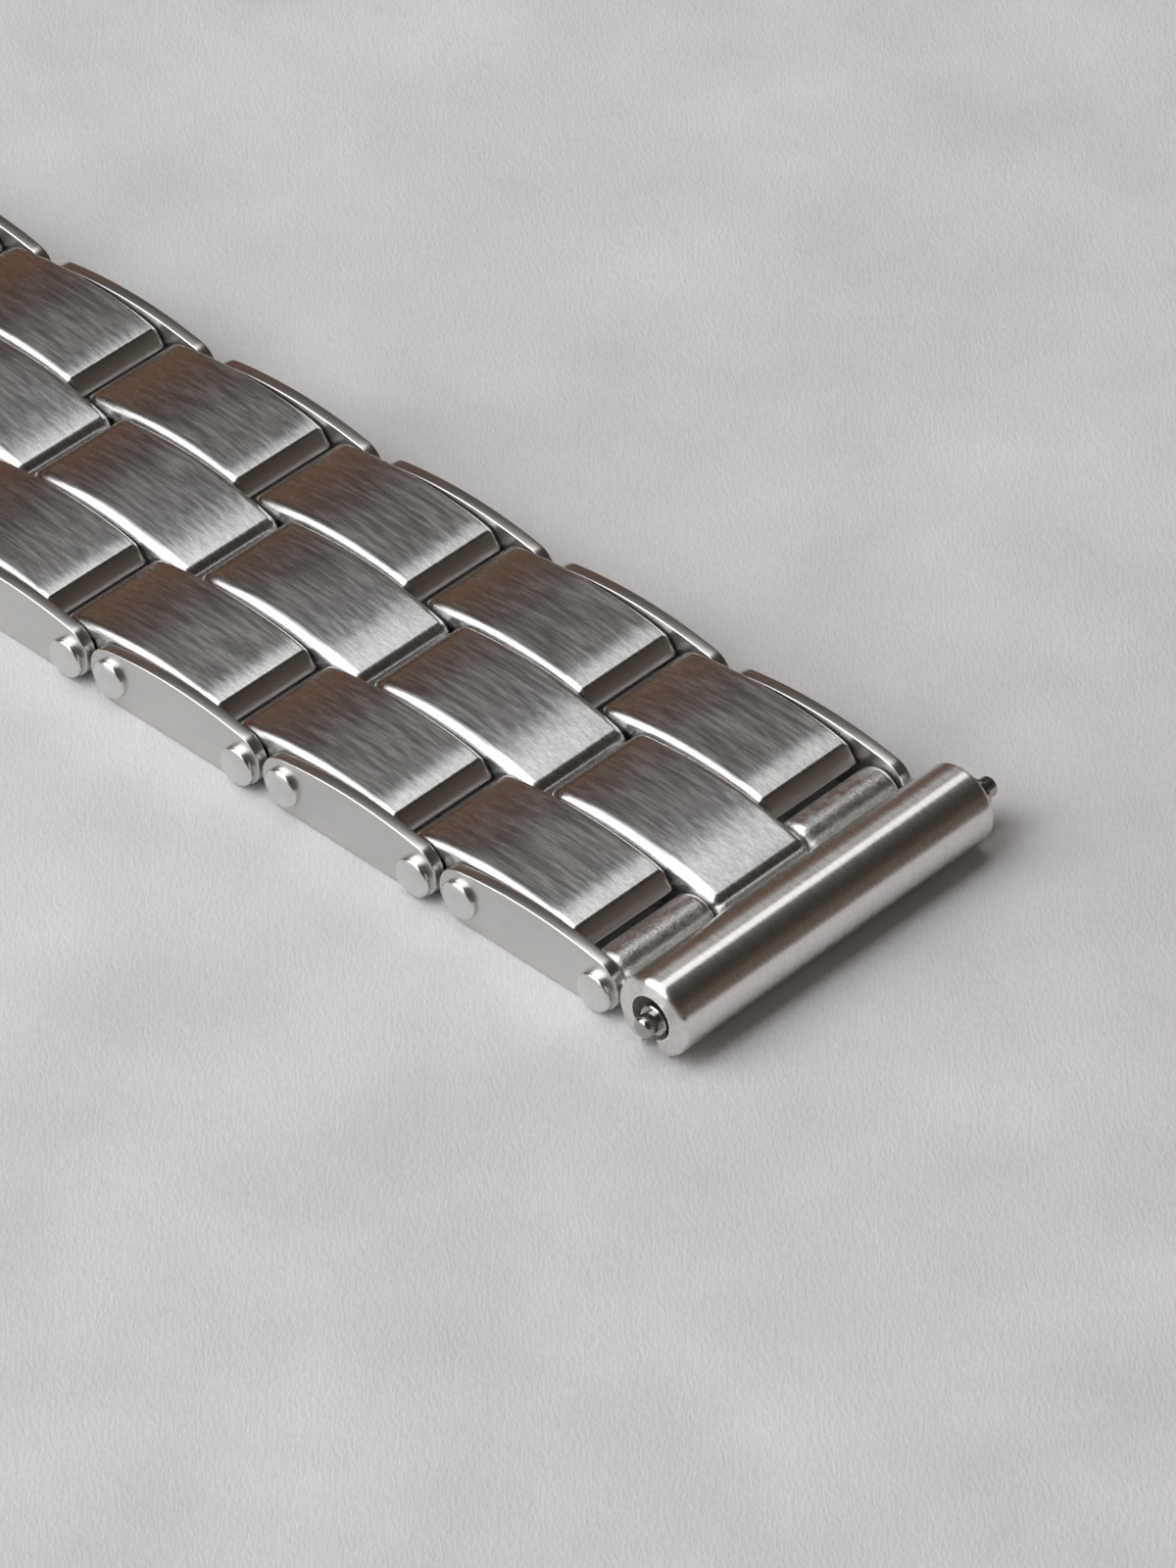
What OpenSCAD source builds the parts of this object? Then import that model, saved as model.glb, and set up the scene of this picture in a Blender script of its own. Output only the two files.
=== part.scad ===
// One strap of a rivet link watch bracelet, laid flat with its table face down.
// X runs along the strap towards the watch, Y across it and Z up.
// The origin is on the watch spring bar, midway between the lugs.

/* [Strap] */
// Width over the two side plates
strap_width = 18.85; // [17.8:0.05:19.4]
// Distance between the two rivets of one unit
rivet_pitch = 8.14; // [7.6:0.01:9.2]
// Distance from a unit's far rivet to the next unit's near rivet
bridge_pitch = 2.71; // [2.68:0.01:3.1]
// Height of a unit's near rivet above the table
near_rivet_height = 1.08; // [1.05:0.01:1.3]
// Height of a unit's far rivet above the table
far_rivet_height = 1.38; // [1.3:0.01:1.6]
// Height of the middle of the rolls round a near rivet
near_roll_height = 1.25; // [1.25:0.01:1.36]
// Height of the middle of the rolls round a far rivet
far_roll_height = 1.53; // [1.45:0.01:1.6]
// Gap between neighbouring pieces across the strap
side_gap = 0.075; // [0.04:0.005:0.12]

/* [Rivets] */
// Diameter of a rivet's shank
rivet_diameter = 1.2; // [0.9:0.05:1.3]
// Diameter of a rivet's head
head_diameter = 1.95; // [1.7:0.05:2]
// Height of the head at the near rivet
near_head_height = 0.42; // [0.3:0.01:0.46]
// Height of the head at the far rivet
far_head_height = 0.45; // [0.3:0.01:0.46]
// Rounding of a head's rim
head_edge = 0.15; // [0.1:0.01:0.2]
// Radius of a head's slight dome
head_dome = 4; // [3:0.5:8]
// Radial clearance of a rivet in a piece that turns on it
hinge_clearance = 0.04; // [0.02:0.005:0.08]
// Radial clearance of a rivet in a piece that it holds fast
seat_clearance = 0.02; // [0.01:0.005:0.03]

/* [Centre link] */
// Width of the centre link
centre_width = 5.85; // [4.5:0.05:7.5]
// Height of the crown above the table
centre_crown_height = 3.27; // [3.15:0.01:3.6]
// Distance from the near rivet to the crown's highest line
centre_crown_peak = 5.35; // [4.6:0.05:5.8]
// Radius of the crown along the strap
centre_crown_radius = 22; // [19:0.5:30]
// How far the nose reaches past the near rivet
centre_near_reach = 1.19; // [1.1:0.01:1.24]
// How far the tail reaches past the far rivet
centre_far_reach = 1.31; // [1.2:0.01:1.36]
// Radius where the crown turns down into the nose
centre_near_corner = 0.55; // [0.45:0.05:0.8]
// Radius where the crown turns down into the tail
centre_far_corner = 1.15; // [0.9:0.05:1.3]
// Rounding of the long edges
centre_edge = 0.4; // [0.2:0.05:0.6]
// Thickness of the folded sheet
centre_sheet = 0.7; // [0.5:0.05:0.9]

/* [Outer link] */
// Height of the crown above the table
outer_crown_height = 3.19; // [3.1:0.01:3.5]
// Distance from the near rivet under the roof to the crown's highest line
outer_crown_peak = 6.43; // [5.8:0.05:7]
// Radius of the crown along the strap
outer_crown_radius = 26; // [22:0.5:34]
// Distance from the roof's lip to the near rivet that it stops short of
outer_lip_gap = 1.47; // [1.4:0.01:1.8]
// How far the slanted face of the lip runs along the strap
outer_lip_run = 0.55; // [0.3:0.01:0.6]
// How far the slanted face of the lip drops
outer_lip_drop = 0.7; // [0.4:0.01:0.74]
// Thickness of the roof
outer_sheet = 0.8; // [0.7:0.05:1]
// How far the tail reaches past its rivet
outer_far_reach = 1.23; // [1.15:0.01:1.25]
// Radius where the crown turns down into the tail
outer_far_corner = 1.2; // [1:0.05:1.3]
// Radius of the roll round the far rivet
outer_roll_radius = 1.25; // [1.1:0.01:1.35]
// Rounding of the long edges
outer_edge = 0.35; // [0.2:0.05:0.5]

/* [Side plate] */
// Thickness of a side plate
plate_thickness = 0.6; // [0.4:0.05:0.8]
// Height of the arched top above the table
plate_crown_height = 3.14; // [3.05:0.01:3.4]
// Distance from the near rivet to the arch's highest line
plate_crown_peak = 4.36; // [3.9:0.05:4.8]
// Radius of the arched top
plate_crown_radius = 24; // [20:0.5:30]
// How far the plate reaches past the near rivet
plate_near_reach = 1.19; // [1.1:0.01:1.22]
// How far the plate reaches past the far rivet
plate_far_reach = 1.29; // [1.2:0.01:1.32]
// Radius of the corners
plate_corner = 1.28; // [1.1:0.01:1.3]
// Height of the straight lower edge above the table
plate_lift = 0.05; // [0.02:0.01:0.12]

/* [Watch end] */
// How far the tube stands out past each side of the strap
tube_overhang = 0.475; // [0.45:0.005:0.52]
// Diameter of the tube
tube_diameter = 3.96; // [3.6:0.02:4.2]
// Rounding of the tube's ends
tube_edge = 0.35; // [0.1:0.05:0.5]
// Distance from the tube's axis to the first rivet
tube_reach = 3.6; // [3.5:0.05:4.2]
// Radius of the rolls of the two knuckles
knuckle_radius = 1.25; // [1.1:0.01:1.25]
// Rounding of the knuckles' outer corners
knuckle_edge = 0.35; // [0.2:0.05:0.5]
// Thickness of the web from the knuckles to a tube
web_thickness = 0.9; // [0.7:0.05:1.8]
// Diameter of the bore for a spring bar
bore_diameter = 2.16; // [2.02:0.02:2.3]
// Width of the slot under a tube, where its sheet ends meet
slot_width = 1.3; // [0.8:0.05:1.5]

/* [Clasp end] */
// How far the clasp tube stops short of each side of the strap
clasp_tube_inset = 0.675; // [0.575:0.005:1.175]
// Diameter of the tube at the clasp end
clasp_tube_diameter = 3.2; // [3:0.05:3.5]
// Distance from the last rivet to the clasp tube's axis
clasp_reach = 3.6; // [3.5:0.05:4.2]

/* [Spring bars] */
// Diameter of the barrel and of the shoulders
bar_diameter = 1.5; // [1.4:0.02:1.7]
// Wall of the barrel
bar_wall = 0.2; // [0.15:0.01:0.25]
// Length of the crimped lip at each end of the barrel
bar_lip = 0.5; // [0.3:0.05:0.8]
// Diameter of a tip
tip_diameter = 1; // [0.8:0.05:1.2]
// Length of a tip past its shoulder
tip_length = 0.75; // [0.5:0.05:1]
// Diameter of the neck in the barrel's lip
neck_diameter = 0.65; // [0.55:0.05:0.8]
// Thickness of a shoulder
shoulder_length = 0.4; // [0.3:0.05:0.6]
// How far a free bar's shoulders stand out past its tube when it lies centred
shoulder_overhang = 0.5; // [0.2:0.05:0.6]
// How far a tip can be pressed in
tip_travel = 1; // [0.8:0.05:1.1]
// Length of a plunger's head inside the barrel
piston_length = 1.6; // [1.2:0.1:2.5]
// Radial clearance of the plungers in the barrel
bar_clearance = 0.03; // [0.02:0.005:0.05]
// How far a bar hangs below its bore's axis
bar_drop = 0.24; // [0.15:0.01:0.25]
// How far the watch bar lies to the left of its tube's middle
bar_slide = 0.6; // [0:0.05:0.6]
// Diameter of the spring's wire
wire_diameter = 0.18; // [0.12:0.01:0.22]
// Number of turns of the spring
spring_turns = 18; // [10:1:20]

/* [Hidden] */
$fn = 64;

// Length that cutting shapes run past what they cut
past = 1;
// How far the end arcs of a link break through its crown, which leaves a faint crease
crease = 0.02;
unit_pitch = rivet_pitch + bridge_pitch;
unit_count = 6;

// The table, the clasp bar and the first near rivet, measured from the watch spring bar
table_z = bar_drop - tube_diameter / 2;
clasp_bar_z = table_z + clasp_tube_diameter / 2 - bar_drop;
clasp_x = -tube_reach - (unit_count - 1) * unit_pitch - rivet_pitch - clasp_reach;

// Rivets of a unit, as X from its near rivet and Z from the table
near_rivet = [0, near_rivet_height];
far_rivet = [-rivet_pitch, far_rivet_height];
next_rivet = [-unit_pitch, near_rivet_height];

// Middles of the rolls that the rivets pass through
near_roll = [0, near_roll_height];
far_roll = [-rivet_pitch, far_roll_height];
next_roll = [-unit_pitch, near_roll_height];

// Sides of the pieces, measured from the middle of the strap
outer_inside = centre_width / 2 + side_gap;
plate_inside = strap_width / 2 - plate_thickness;
outer_outside = plate_inside - side_gap;
outer_width = outer_outside - outer_inside;

// Lengths of the two tubes
tube_length = strap_width + 2 * tube_overhang;
clasp_tube_length = strap_width - 2 * clasp_tube_inset;

// Inside of the spring bars
barrel_radius = bar_diameter / 2 - bar_wall;
piston_radius = barrel_radius - bar_clearance;
neck_radius = neck_diameter / 2;
spring_radius = piston_radius - wire_diameter / 2;

// Centre of the arc that turns a crown down at an end, so that the arc just breaks through the crown
function corner(peak, crown, end_x, way, radius) =
    let (x = end_x - way * radius)
    [x, peak[1] - crown + sqrt(pow(crown + crease - radius, 2) - pow(x - peak[0], 2))];

// Point above a crown, on the crown's own radius through p
function above(peak, crown, p) =
    let (
        centre = [peak[0], peak[1] - crown],
        reach = (crown + past) / norm(p - centre)
    )
    centre + (p - centre) * reach;

// Moves a shape from a unit's own place, near rivet over the table, to its place in the strap
module place_unit(i) {
    translate([-tube_reach - (i - 1) * unit_pitch, 0, table_z]) children();
}

// Turns an outline in X and Z into a solid of width w, centred on the strap's middle
module across(w) {
    rotate([90, 0, 0])
        linear_extrude(w, center = true)
            children();
}

// Disc lying across the strap at p, with rounded rims
module roll(p, radius, w, edge) {
    translate([p[0], 0, p[1]])
        rotate([90, 0, 0])
            rotate_extrude() {
                translate([0, -w / 2]) square([radius - edge, w]);
                translate([0, edge - w / 2]) square([radius, w - 2 * edge]);
                translate([radius - edge, w / 2 - edge]) circle(edge);
                translate([radius - edge, edge - w / 2]) circle(edge);
            }
}

// Straight hole across the strap at p
module cross_hole(p, radius, w) {
    translate([p[0], 0, p[1]])
        rotate([90, 0, 0])
            cylinder(r = radius, h = w + 2 * past, center = true);
}

// Solid of width w whose side outline is given, topped by a crown with rounded long edges
module crowned(w, edge, peak, crown) {
    intersection() {
        roll([peak[0], peak[1] - crown], crown, w, edge);
        across(w) children();
    }
}

// Space under a crown's sheet between low_x and high_x, down to floor_z
module under_crown(peak, crown, sheet, low_x, high_x, floor_z) {
    intersection() {
        translate([peak[0], peak[1] - crown]) circle(crown - sheet);
        translate([low_x, floor_z]) square([high_x - low_x, peak[1] - floor_z]);
    }
}

// Side outline of a centre link: a flattened tube of sheet with a roll round each rivet
module centre_outline() {
    peak = [-centre_crown_peak, centre_crown_height];
    crown = centre_crown_radius;
    near_x = centre_near_reach;
    far_x = -rivet_pitch - centre_far_reach;
    near = corner(peak, crown, near_x, 1, centre_near_corner);
    far = corner(peak, crown, far_x, -1, centre_far_corner);
    difference() {
        union() {
            translate(near) circle(centre_near_corner);
            translate(far) circle(centre_far_corner);
            polygon([
                near_roll - [0, centre_near_reach], near_roll, [near_x, near_roll[1]], [near_x, near[1]],
                near, above(peak, crown, near), above(peak, crown, far), far,
                [far_x, far[1]], [far_x, far_roll[1]], far_roll, far_roll - [0, centre_far_reach]
            ]);
        }
        under_crown(
            peak, crown, centre_sheet, -rivet_pitch, 0,
            far_roll_height - centre_far_reach + centre_sheet
        );
    }
    translate(near_roll) circle(centre_near_reach);
    translate(far_roll) circle(centre_far_reach);
}

module centre_link(i) {
    hole = rivet_diameter / 2 + seat_clearance;
    color("silver")
        place_unit(i)
            difference() {
                crowned(
                    centre_width, centre_edge,
                    [-centre_crown_peak, centre_crown_height], centre_crown_radius
                )
                    centre_outline();
                cross_hole(near_rivet, hole, centre_width);
                cross_hole(far_rivet, hole, centre_width);
            }
}

// Side outline of a roof with its roll round the far rivet; tail is the outline past that roll
module roof_outline(far_x, far_corner, tail) {
    peak = [-outer_crown_peak, outer_crown_height];
    crown = outer_crown_radius;
    lip_slant = [-outer_lip_run, outer_lip_drop];
    lip_top = -outer_lip_gap - outer_lip_run;
    lip = [lip_top, peak[1] - crown + sqrt(pow(crown, 2) - pow(lip_top - peak[0], 2))] - lip_slant;
    far = corner(peak, crown, far_x, -1, far_corner);
    difference() {
        polygon(concat(
            [far_roll, [lip[0], far_roll[1]], lip, lip + 2 * lip_slant],
            [above(peak, crown, far), far, [far_x, far[1]]],
            tail,
            [far_roll - [0, outer_roll_radius]]
        ));
        under_crown(peak, crown, outer_sheet, -rivet_pitch, past, 0);
    }
    translate(far) circle(far_corner);
    translate(far_roll) circle(outer_roll_radius);
}

module outer_crowned() {
    crowned(outer_width, outer_edge, [-outer_crown_peak, outer_crown_height], outer_crown_radius)
        children();
}

// Outer link i bridges from unit i to unit i + 1; side is 1 on the left and -1 on the right
module outer_link(i, side) {
    hole = rivet_diameter / 2 + hinge_clearance;
    far_x = -unit_pitch - outer_far_reach;
    color("lightgray")
        place_unit(i)
            translate([0, side * (outer_inside + outer_width / 2), 0])
                difference() {
                    outer_crowned() {
                        roof_outline(
                            far_x, outer_far_corner,
                            [[far_x, next_roll[1]], next_roll, next_roll - [0, outer_far_reach]]
                        );
                        translate(next_roll) circle(outer_far_reach);
                    }
                    cross_hole(far_rivet, hole, outer_width);
                    cross_hole(next_rivet, hole, outer_width);
                }
}

module plate_outline() {
    peak = [-plate_crown_peak, plate_crown_height];
    crown = plate_crown_radius;
    near_x = plate_near_reach;
    far_x = -rivet_pitch - plate_far_reach;
    near = corner(peak, crown, near_x, 1, plate_corner);
    far = corner(peak, crown, far_x, -1, plate_corner);
    low = plate_lift + plate_corner;
    difference() {
        union() {
            translate(near) circle(plate_corner);
            translate(far) circle(plate_corner);
            translate([near[0], low]) circle(plate_corner);
            translate([far[0], low]) circle(plate_corner);
            intersection() {
                translate([peak[0], peak[1] - crown]) circle(crown);
                polygon([
                    [near[0], plate_lift], [near[0], low], [near_x, low], [near_x, near[1]], near,
                    above(peak, crown, near), above(peak, crown, far),
                    far, [far_x, far[1]], [far_x, low], [far[0], low], [far[0], plate_lift]
                ]);
            }
        }
        translate(near_rivet) circle(rivet_diameter / 2 + seat_clearance);
        translate(far_rivet) circle(rivet_diameter / 2 + seat_clearance);
    }
}

// Side plate of unit i; side is 1 on the left and -1 on the right
module side_plate(i, side) {
    color("gainsboro")
        place_unit(i)
            translate([0, side * (plate_inside + plate_thickness / 2), 0])
                across(plate_thickness)
                    plate_outline();
}

// Head seated on the plane z = 0, slightly domed and round at the rim
module rivet_head(height) {
    radius = head_diameter / 2;
    rotate_extrude()
        intersection() {
            translate([0, height - head_dome]) circle(head_dome);
            union() {
                square([radius - head_edge, height]);
                square([radius, height - head_edge]);
                translate([radius - head_edge, height - head_edge]) circle(head_edge);
            }
        }
}

module rivet(p, head_height) {
    translate([p[0], 0, p[1]])
        rotate([90, 0, 0]) {
            cylinder(d = rivet_diameter, h = strap_width, center = true);
            translate([0, 0, strap_width / 2]) rivet_head(head_height);
            mirror([0, 0, 1]) translate([0, 0, strap_width / 2]) rivet_head(head_height);
        }
}

module rivets(i) {
    color("whitesmoke")
        place_unit(i) {
            rivet(near_rivet, near_head_height);
            rivet(far_rivet, far_head_height);
        }
}

// Web from the middle of a roll at p to a tube's axis at q
module web(p, q) {
    across(outer_width)
        polygon([
            p + [0, web_thickness / 2], q + [0, web_thickness / 2],
            q - [0, web_thickness / 2], p - [0, web_thickness / 2]
        ]);
}

// Solid tube on the bar line, axis at q
module tube_body(q, diameter, length) {
    roll(q, diameter / 2, length, tube_edge);
}

// Bore and lower slot of a tube with its axis at q
module tube_bore(q, diameter, length) {
    cross_hole(q, bore_diameter / 2, length);
    translate([q[0], 0, q[1] - diameter / 2])
        cube([slot_width, length + 2 * past, diameter], center = true);
}

module end_tube() {
    axis = [0, bar_drop];
    rivet_at = [-tube_reach, table_z + near_rivet_height];
    knuckle_at = [-tube_reach, table_z + near_roll_height];
    color("silver")
        difference() {
            union() {
                tube_body(axis, tube_diameter, tube_length);
                for (side = [-1, 1])
                    translate([0, side * (outer_inside + outer_width / 2), 0]) {
                        roll(knuckle_at, knuckle_radius, outer_width, knuckle_edge);
                        web(knuckle_at, axis);
                    }
            }
            cross_hole(rivet_at, rivet_diameter / 2 + hinge_clearance, strap_width);
            tube_bore(axis, tube_diameter, tube_length);
        }
}

module clasp_end() {
    axis = [-rivet_pitch - clasp_reach, clasp_tube_diameter / 2];
    far_x = -rivet_pitch - outer_roll_radius;
    color("silver")
        place_unit(unit_count)
            difference() {
                union() {
                    tube_body(axis, clasp_tube_diameter, clasp_tube_length);
                    for (side = [-1, 1])
                        translate([0, side * (outer_inside + outer_width / 2), 0]) {
                            outer_crowned() roof_outline(far_x, outer_far_corner, [[far_x, far_roll[1]]]);
                            web(far_roll, axis);
                        }
                }
                cross_hole(far_rivet, rivet_diameter / 2 + hinge_clearance, strap_width);
                tube_bore(axis, clasp_tube_diameter, clasp_tube_length);
            }
}

// Half length of a barrel that leaves its plungers their travel
function barrel_half(length) =
    length / 2 + shoulder_overhang - shoulder_length - tip_travel - bar_clearance;

// Distance from the middle of a bar to the inner end of a plunger
function piston_end(length) = barrel_half(length) - bar_lip - bar_clearance - piston_length;

// Barrel of a spring bar for a tube of the given length, along Y
module barrel(length) {
    half = barrel_half(length);
    rotate([90, 0, 0])
        difference() {
            cylinder(d = bar_diameter, h = 2 * half, center = true);
            cylinder(r = barrel_radius, h = 2 * (half - bar_lip), center = true);
            cylinder(r = neck_radius + bar_clearance, h = 2 * (half + past), center = true);
        }
}

// Plunger at the +Y end of a bar: piston, neck, shoulder and tip
module plunger(length) {
    inner = piston_end(length);
    shoulder = length / 2 + shoulder_overhang - shoulder_length;
    translate([0, inner, 0])
        rotate([-90, 0, 0]) {
            cylinder(r = piston_radius, h = piston_length);
            cylinder(r = neck_radius, h = shoulder - inner + shoulder_length / 2);
            translate([0, 0, shoulder - inner]) cylinder(d = bar_diameter, h = shoulder_length);
            translate([0, 0, shoulder - inner])
                cylinder(d = tip_diameter, h = shoulder_length + tip_length);
        }
}

// Closed tube of wire through the centres in path, with sides points in each ring
module wire(path, sides) {
    last = len(path) - 1;
    rings = [
        for (k = [0:last])
            let (
                ahead = path[min(k + 1, last)] - path[max(k - 1, 0)],
                along = ahead / norm(ahead),
                out = cross(along, cross([0, 1, 0], along)),
                up = out / norm(out),
                side = cross(along, up)
            )
            for (s = [0:sides - 1])
                path[k] + wire_diameter / 2 * (cos(360 * s / sides) * up + sin(360 * s / sides) * side)
    ];
    walls = [
        for (k = [0:last - 1], s = [0:sides - 1])
            let (a = k * sides + s, b = k * sides + (s + 1) % sides)
            each [[a, b, b + sides], [a, b + sides, a + sides]]
    ];
    caps = [
        for (s = [1:sides - 2])
            each [[0, s + 1, s], [last * sides, last * sides + s, last * sides + s + 1]]
    ];
    polyhedron(rings, concat(walls, caps));
}

// Spring between the plungers of a bar for a tube of the given length, along Y
module spring(length) {
    steps = 8;
    half = piston_end(length) - wire_diameter / 2 - bar_clearance;
    path = [
        for (k = [0:steps * spring_turns])
            let (turn = 360 * k / steps)
            [
                spring_radius * cos(turn),
                half * (2 * k / (steps * spring_turns) - 1),
                spring_radius * sin(turn)
            ]
    ];
    wire(path, 6);
}

module at_watch_bar() {
    translate([0, bar_slide, 0]) children();
}

module at_clasp_bar() {
    translate([clasp_x, 0, clasp_bar_z]) children();
}

module bar_barrel() {
    color("lightsteelblue") at_watch_bar() barrel(tube_length);
}

module bar_spring() {
    color("dimgray") at_watch_bar() spring(tube_length);
}

module bar_plunger(side) {
    color("gainsboro")
        at_watch_bar()
            mirror([0, side < 0 ? 1 : 0, 0]) plunger(tube_length);
}

module clasp_barrel() {
    color("lightsteelblue") at_clasp_bar() barrel(clasp_tube_length);
}

module clasp_spring() {
    color("dimgray") at_clasp_bar() spring(clasp_tube_length);
}

module clasp_plunger(side) {
    color("gainsboro")
        at_clasp_bar()
            mirror([0, side < 0 ? 1 : 0, 0]) plunger(clasp_tube_length);
}

end_tube();
bar_barrel();
bar_spring();
bar_plunger(1);  // bar_plunger_left
bar_plunger(-1);  // bar_plunger_right
centre_link(1);  // centre_link_1
centre_link(2);  // centre_link_2
centre_link(3);  // centre_link_3
centre_link(4);  // centre_link_4
centre_link(5);  // centre_link_5
centre_link(6);  // centre_link_6
side_plate(1, 1);  // side_plate_left_1
side_plate(2, 1);  // side_plate_left_2
side_plate(3, 1);  // side_plate_left_3
side_plate(4, 1);  // side_plate_left_4
side_plate(5, 1);  // side_plate_left_5
side_plate(6, 1);  // side_plate_left_6
side_plate(1, -1);  // side_plate_right_1
side_plate(2, -1);  // side_plate_right_2
side_plate(3, -1);  // side_plate_right_3
side_plate(4, -1);  // side_plate_right_4
side_plate(5, -1);  // side_plate_right_5
side_plate(6, -1);  // side_plate_right_6
rivets(1);  // rivets_1
rivets(2);  // rivets_2
rivets(3);  // rivets_3
rivets(4);  // rivets_4
rivets(5);  // rivets_5
rivets(6);  // rivets_6
outer_link(1, 1);  // outer_link_left_1
outer_link(2, 1);  // outer_link_left_2
outer_link(3, 1);  // outer_link_left_3
outer_link(4, 1);  // outer_link_left_4
outer_link(5, 1);  // outer_link_left_5
outer_link(1, -1);  // outer_link_right_1
outer_link(2, -1);  // outer_link_right_2
outer_link(3, -1);  // outer_link_right_3
outer_link(4, -1);  // outer_link_right_4
outer_link(5, -1);  // outer_link_right_5
clasp_end();
clasp_barrel();
clasp_spring();
clasp_plunger(1);  // clasp_plunger_left
clasp_plunger(-1);  // clasp_plunger_right
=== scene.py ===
"""Looks of the rivet link bracelet strap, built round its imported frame."""
import math

import bmesh
import bpy
from mathutils import Matrix, Vector


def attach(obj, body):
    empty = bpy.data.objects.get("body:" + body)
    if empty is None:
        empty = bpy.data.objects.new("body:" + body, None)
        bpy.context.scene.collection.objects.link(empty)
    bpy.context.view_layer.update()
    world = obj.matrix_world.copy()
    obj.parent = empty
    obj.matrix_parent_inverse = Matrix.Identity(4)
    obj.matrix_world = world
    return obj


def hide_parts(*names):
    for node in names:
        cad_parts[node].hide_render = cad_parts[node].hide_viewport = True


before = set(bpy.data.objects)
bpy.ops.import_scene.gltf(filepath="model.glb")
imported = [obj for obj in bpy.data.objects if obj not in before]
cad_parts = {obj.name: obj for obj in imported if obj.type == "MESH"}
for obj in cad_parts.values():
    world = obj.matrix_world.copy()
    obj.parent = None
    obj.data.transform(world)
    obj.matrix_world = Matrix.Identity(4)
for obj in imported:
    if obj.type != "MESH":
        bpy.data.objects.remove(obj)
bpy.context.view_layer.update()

MM = 0.001
UNITS = 6
SIDES = (("left", 1), ("right", -1))
# Points of an outline that lie nearer than this, in millimetres, are merged
WELD = 0.002
# A corner sharper than this, in degrees, isn't shaded smooth
SHARP_ANGLE = 40
# A face whose normal has more than this across the strap is a side face
SIDEWAYS = 0.99

# Sizes of the strap in millimetres, as in its CAD source.
# Points are (x, z), x along the strap from the unit's near rivet and z up from the table.
RIVET_PITCH = 8.14
UNIT_PITCH = RIVET_PITCH + 2.71
TUBE_REACH = 3.6
CLASP_REACH = 3.6
BAR_DROP = 0.24
TUBE_RADIUS = 1.98
TUBE_HALF = 9.9
CLASP_TUBE_RADIUS = 1.6
CLASP_TUBE_HALF = 8.75
BORE_RADIUS = 1.08
SLOT_HALF = 0.65
TABLE_Z = BAR_DROP - TUBE_RADIUS
NEAR_RIVET = (0, 1.08)
FAR_RIVET = (-RIVET_PITCH, 1.38)
NEAR_ROLL = (0, 1.25)
FAR_ROLL = (-RIVET_PITCH, 1.53)
NEXT_ROLL = (-UNIT_PITCH, 1.25)
ROLL_RADIUS = 1.25
STRAP_HALF = 9.425
PLATE_THICKNESS = 0.6
SIDE_GAP = 0.075
CENTRE_HALF = 2.925
OUTER_INSIDE = CENTRE_HALF + SIDE_GAP
OUTER_OUTSIDE = STRAP_HALF - PLATE_THICKNESS - SIDE_GAP
OUTER_SHEET = 0.8
PLATE_LIFT = 0.05
WEB_HALF = 0.45

# The crown of each outline: its highest point and its radius
CENTRE_PEAK = (-5.35, 3.27)
CENTRE_CROWN = 22.0
OUTER_PEAK = (-6.43, 3.19)
OUTER_CROWN = 26.0
PLATE_PEAK = (-4.36, 3.14)
PLATE_CROWN = 24.0

# How far each outline goes past its rivets, and the radii that turn its crown down there
CENTRE_NEAR_REACH = 1.19
CENTRE_FAR_REACH = 1.31
CENTRE_NEAR_CORNER = 0.95
CENTRE_FAR_CORNER = 1.15
OUTER_FAR_REACH = 1.23
OUTER_FAR_CORNER = 1.2
PLATE_NEAR_REACH = 1.19
PLATE_FAR_REACH = 1.29
PLATE_CORNER = 1.28

# The outer links' lip: where it ends, its slant, and the radius that rolls the crown over to it
LIP_X = -1.47
LIP_RUN = 0.55
LIP_DROP = 0.7
LIP_ROUND = 9.2
LIP_ROUND_X = -3.6
# The lip's own faces lie nearer to the near rivet than this
LIP_FACES_X = -2.5

# Widths of the rounded edges
CENTRE_EDGE = 0.5
OUTER_EDGE = 0.35
PLATE_EDGE = 0.06
TUBE_EDGE = 0.35
KNUCKLE_EDGE = 0.44
WEB_EDGE = 0.15

# Webs that join rolls to tubes end inside them, so that nothing of their ends shows
KNUCKLE_WEB_END = -1.5
CLASP_WEB_IN_ROLL = 0.8
CLASP_WEB_IN_TUBE = 1.2
CLASP_WEB_INSET = 0.05

# Rivets; a head is its height, the radius of its dome and the radius of its rim
RIVET_RADIUS = 0.6
HEAD_RADIUS = 0.975
NEAR_HEAD = (0.42, 4.0, 0.15)
FAR_HEAD = (0.45, 2.2, 0.2)

# Spring bars
BAR_RADIUS = 0.75
BAR_BORE_RADIUS = 0.55
BAR_LIP = 0.5
NECK_RADIUS = 0.325
TIP_RADIUS = 0.5
TIP_LENGTH = 0.75
TIP_BEND = 0.2
SHOULDER_LENGTH = 0.4
SHOULDER_OVERHANG = 0.5
SHOULDER_EDGE = 0.06
BARREL_EDGE = 0.07
TIP_TRAVEL = 1.0
PISTON_LENGTH = 1.6
BAR_CLEARANCE = 0.03
BAR_SLIDE = 0.6


# Shapes

def place(x=0.0, y=0.0, z=0.0):
    """A point given in millimetres, in metres."""
    return Vector((x, y, z)) * MM


def crown_middle(peak, crown):
    """Centre of the arc of a crown."""
    return peak[0], peak[1] - crown


def arc_centre(peak, crown, end_x, way, radius):
    """Centre of the arc that turns a crown down at the end end_x."""
    x = end_x - way * radius
    return x, peak[1] - crown + math.sqrt((crown - radius) ** 2 - (x - peak[0]) ** 2)


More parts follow.
